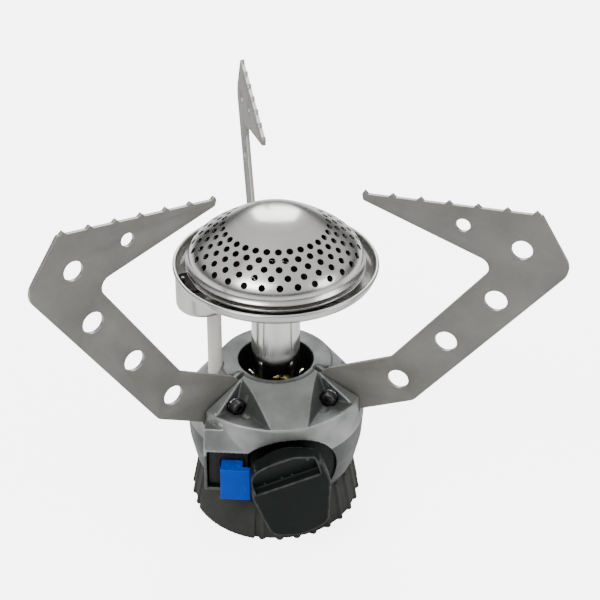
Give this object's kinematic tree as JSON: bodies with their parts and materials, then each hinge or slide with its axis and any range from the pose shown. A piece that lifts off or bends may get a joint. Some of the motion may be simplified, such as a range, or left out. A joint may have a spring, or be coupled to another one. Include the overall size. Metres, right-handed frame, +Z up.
{
  "type": "camping stove burner",
  "caption": "Cartridge-top camping gas burner: cast housing, ribbed grip collar, control knob, piezo button, mixing tube, perforated domed head in a pan and folding toothed pan supports.",
  "frame": {"origin": "on the burner's axis, at the flat lower end of the inlet pin that opens the cartridge", "axes": "+Z up along the burner's axis, the control knob faces -Y, and one pan support stands at +Y"},
  "size_m": [0.1787, 0.1554, 0.1492],
  "materials": {
    "casting": "satin cast grey",
    "grip": "matt dark grey",
    "black": "satin near-black",
    "blue": "satin blue",
    "support_steel": "matt warm grey coating",
    "bright_steel": "polished stainless",
    "dark_steel": "dark zinc",
    "brass": "machined",
    "ceramic": "off-white glazed",
    "rubber": "matt"
  },
  "bodies": {
    "root": {"upper_housing": "casting", "base_collar": "grip", "cartridge_lock_ring": "bright_steel", "collar_screw_1": "dark_steel", "collar_screw_2": "dark_steel", "collar_screw_3": "dark_steel", "valve_body": "brass", "valve_nut": "brass", "gas_jet": "brass", "inlet_pin": "brass", "inlet_seal": "rubber", "inlet_socket": "brass", "gland_nut": "brass", "mixing_tube": "bright_steel", "tube_retainer": "bright_steel", "burner_cup": "bright_steel", "burner_pan": "bright_steel", "burner_dome": "bright_steel", "electrode_ceramic": "ceramic", "electrode_pin": "bright_steel", "electrode_clip": "dark_steel", "ignition_lead": "rubber", "piezo_igniter": "black", "piezo_frame": "black", "button_spring": "bright_steel", "pivot_screw_left": "dark_steel", "pivot_nut_left": "dark_steel", "spring_washer_left": "bright_steel", "pivot_screw_right": "dark_steel", "pivot_nut_right": "dark_steel", "spring_washer_right": "bright_steel", "pivot_screw_rear": "dark_steel", "pivot_nut_rear": "dark_steel", "spring_washer_rear": "bright_steel"},
    "knob": {"control_knob": "black", "valve_spindle": "brass", "spindle_o_ring": "rubber"},
    "button": {"piezo_button": "blue"},
    "left_support": {"pan_support_left": "support_steel"},
    "right_support": {"pan_support_right": "support_steel"},
    "rear_support": {"pan_support_rear": "support_steel"}
  },
  "joints": [
    {"name": "knob_turn", "type": "hinge", "parent": "root", "child": "knob", "pos_m": [0, -0.039, 0.0178], "axis": [0, -1, 0], "range_deg": [0, 320]},
    {"name": "button_press", "type": "slide", "parent": "root", "child": "button", "axis": [0.225, 0.9744, 0], "range_m": [0, 0.003], "stiffness_N_per_m": 600, "springref_m": -0.001, "deforming": ["button_spring"]},
    {"name": "left_support_fold", "type": "hinge", "parent": "root", "child": "left_support", "pos_m": [-0.02079, -0.012, 0.0421], "axis": [-0.5, 0.866, 0], "range_deg": [0, 15.6]},
    {"name": "right_support_fold", "type": "hinge", "parent": "root", "child": "right_support", "pos_m": [0.02079, -0.012, 0.0421], "axis": [-0.5, -0.866, 0], "range_deg": [0, 19.4]},
    {"name": "rear_support_fold", "type": "hinge", "parent": "root", "child": "rear_support", "pos_m": [0, 0.024, 0.0421], "axis": [1, 0, 0], "range_deg": [0, 17.1]}
  ]
}
